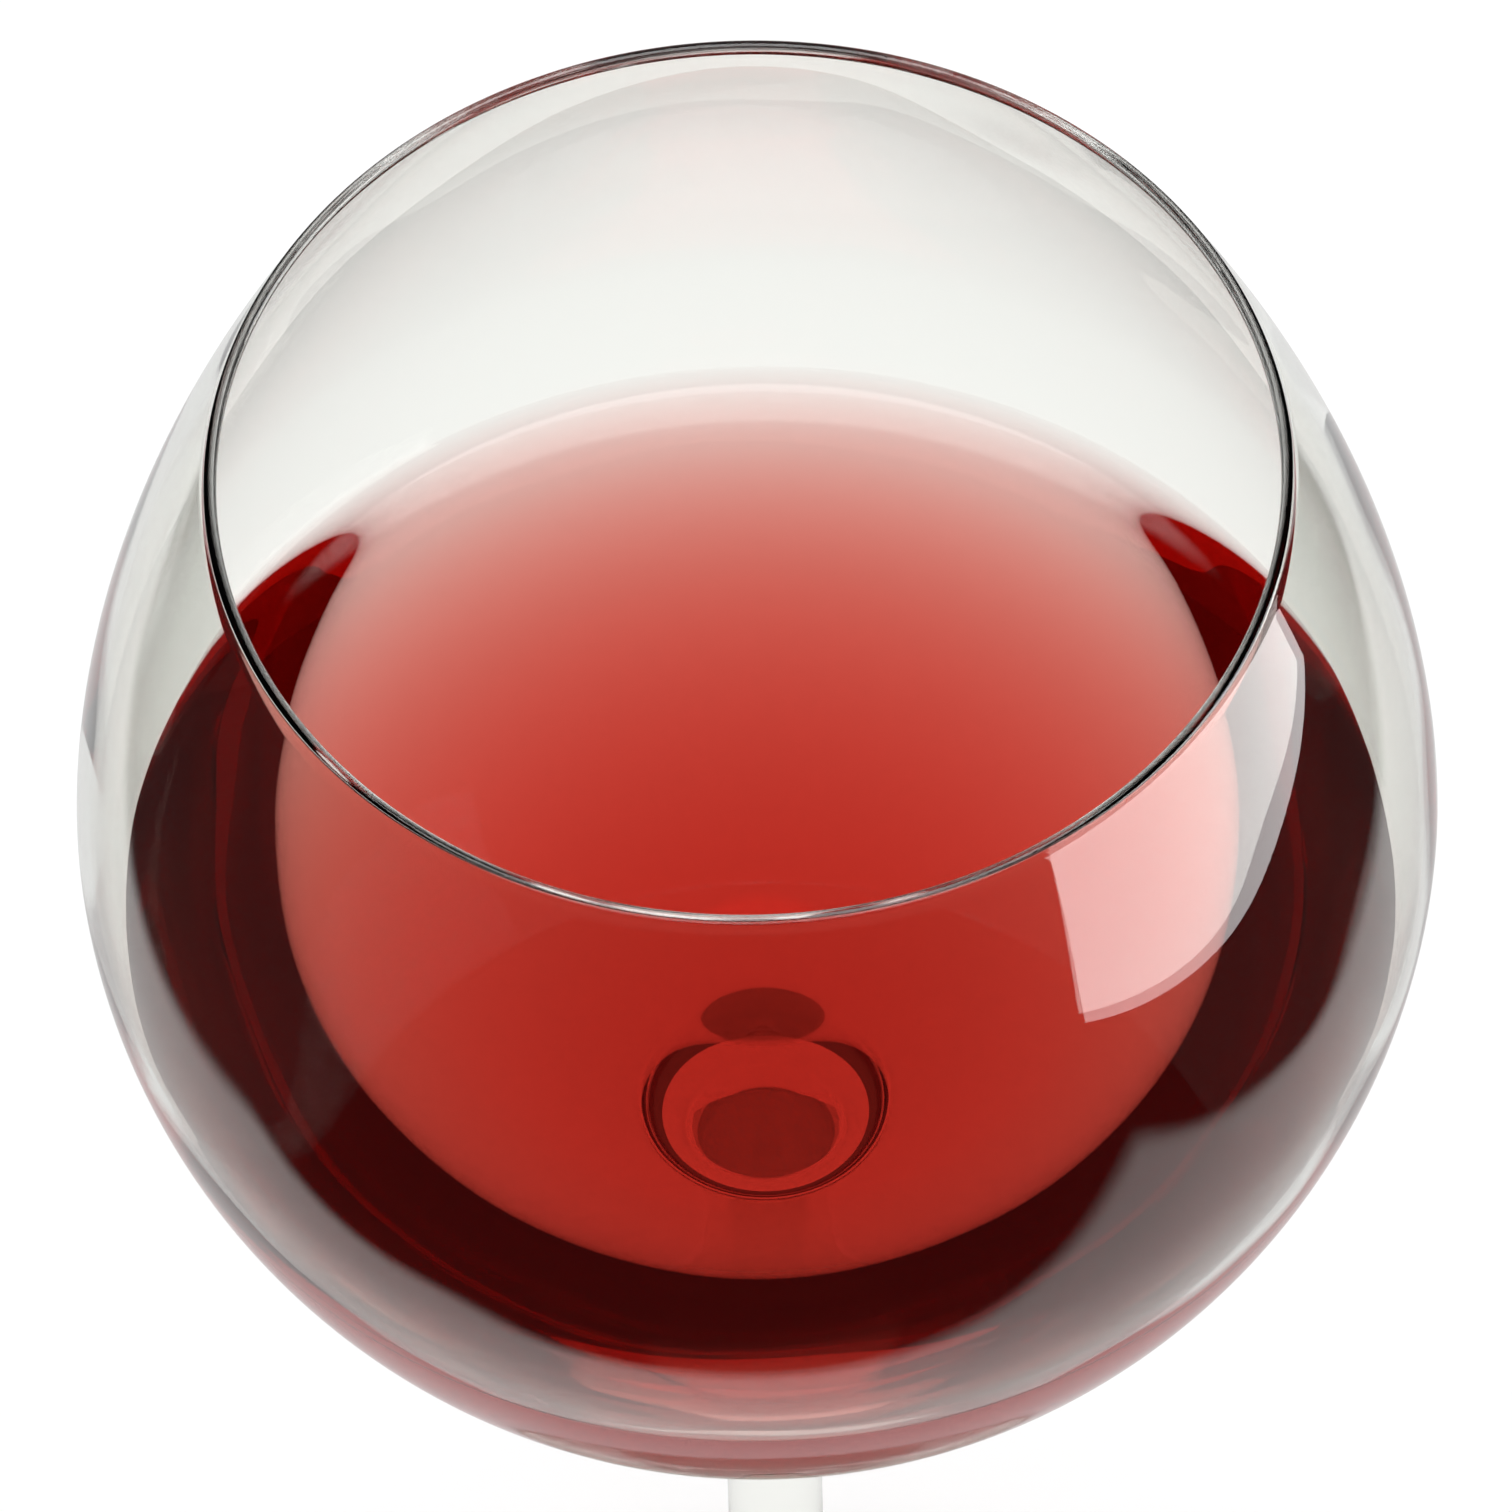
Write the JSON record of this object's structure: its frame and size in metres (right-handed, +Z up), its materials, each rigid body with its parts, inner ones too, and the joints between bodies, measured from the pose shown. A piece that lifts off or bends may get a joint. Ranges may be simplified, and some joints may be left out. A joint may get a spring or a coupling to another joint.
{
  "type": "glass of red wine",
  "caption": "Tall balloon wine glass of clear glass with a slim stem and a round foot, part filled with red wine.",
  "frame": {"origin": "centre of the foot's underside, on the surface it stands on", "axes": "+Z up along the stem and bowl; the glass is round about Z, and -Y faces the viewer"},
  "size_m": [0.1054, 0.1054, 0.22],
  "materials": {
    "clear_glass": "polished clear",
    "red_wine": "clear deep red liquid"
  },
  "bodies": {
    "root": {"glass": "clear_glass", "wine": "red_wine"}
  },
  "joints": []
}
